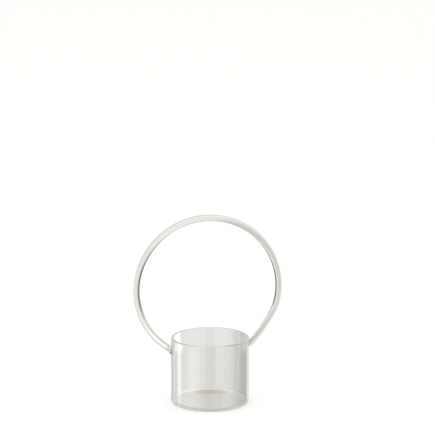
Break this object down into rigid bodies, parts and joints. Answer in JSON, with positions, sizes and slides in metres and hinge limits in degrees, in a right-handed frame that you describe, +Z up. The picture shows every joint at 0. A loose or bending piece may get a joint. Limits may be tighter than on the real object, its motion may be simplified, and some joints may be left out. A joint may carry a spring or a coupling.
{
  "type": "hanging wall vase",
  "caption": "Straight clear glass cup with a flat base and a large hoop of glass rod fused to its sides, to stand on a table or hang from a wall hook",
  "frame": {"origin": "middle of the cup's flat underside, on the cup's axis", "axes": "+Z up along the cup's axis, +X to the side where the hoop ends in its straighter leg, +Y across the hoop's plane towards the wall that it hangs on"},
  "size_m": [0.193, 0.1, 0.2469],
  "materials": {
    "cup_glass": "clear, fire polished",
    "rod_glass": "clear, drawn",
    "weld_glass": "clear, flame melted"
  },
  "bodies": {
    "root": {"vessel": "cup_glass", "handle_rod": "rod_glass", "left_weld": "weld_glass", "right_weld": "weld_glass"}
  },
  "joints": []
}
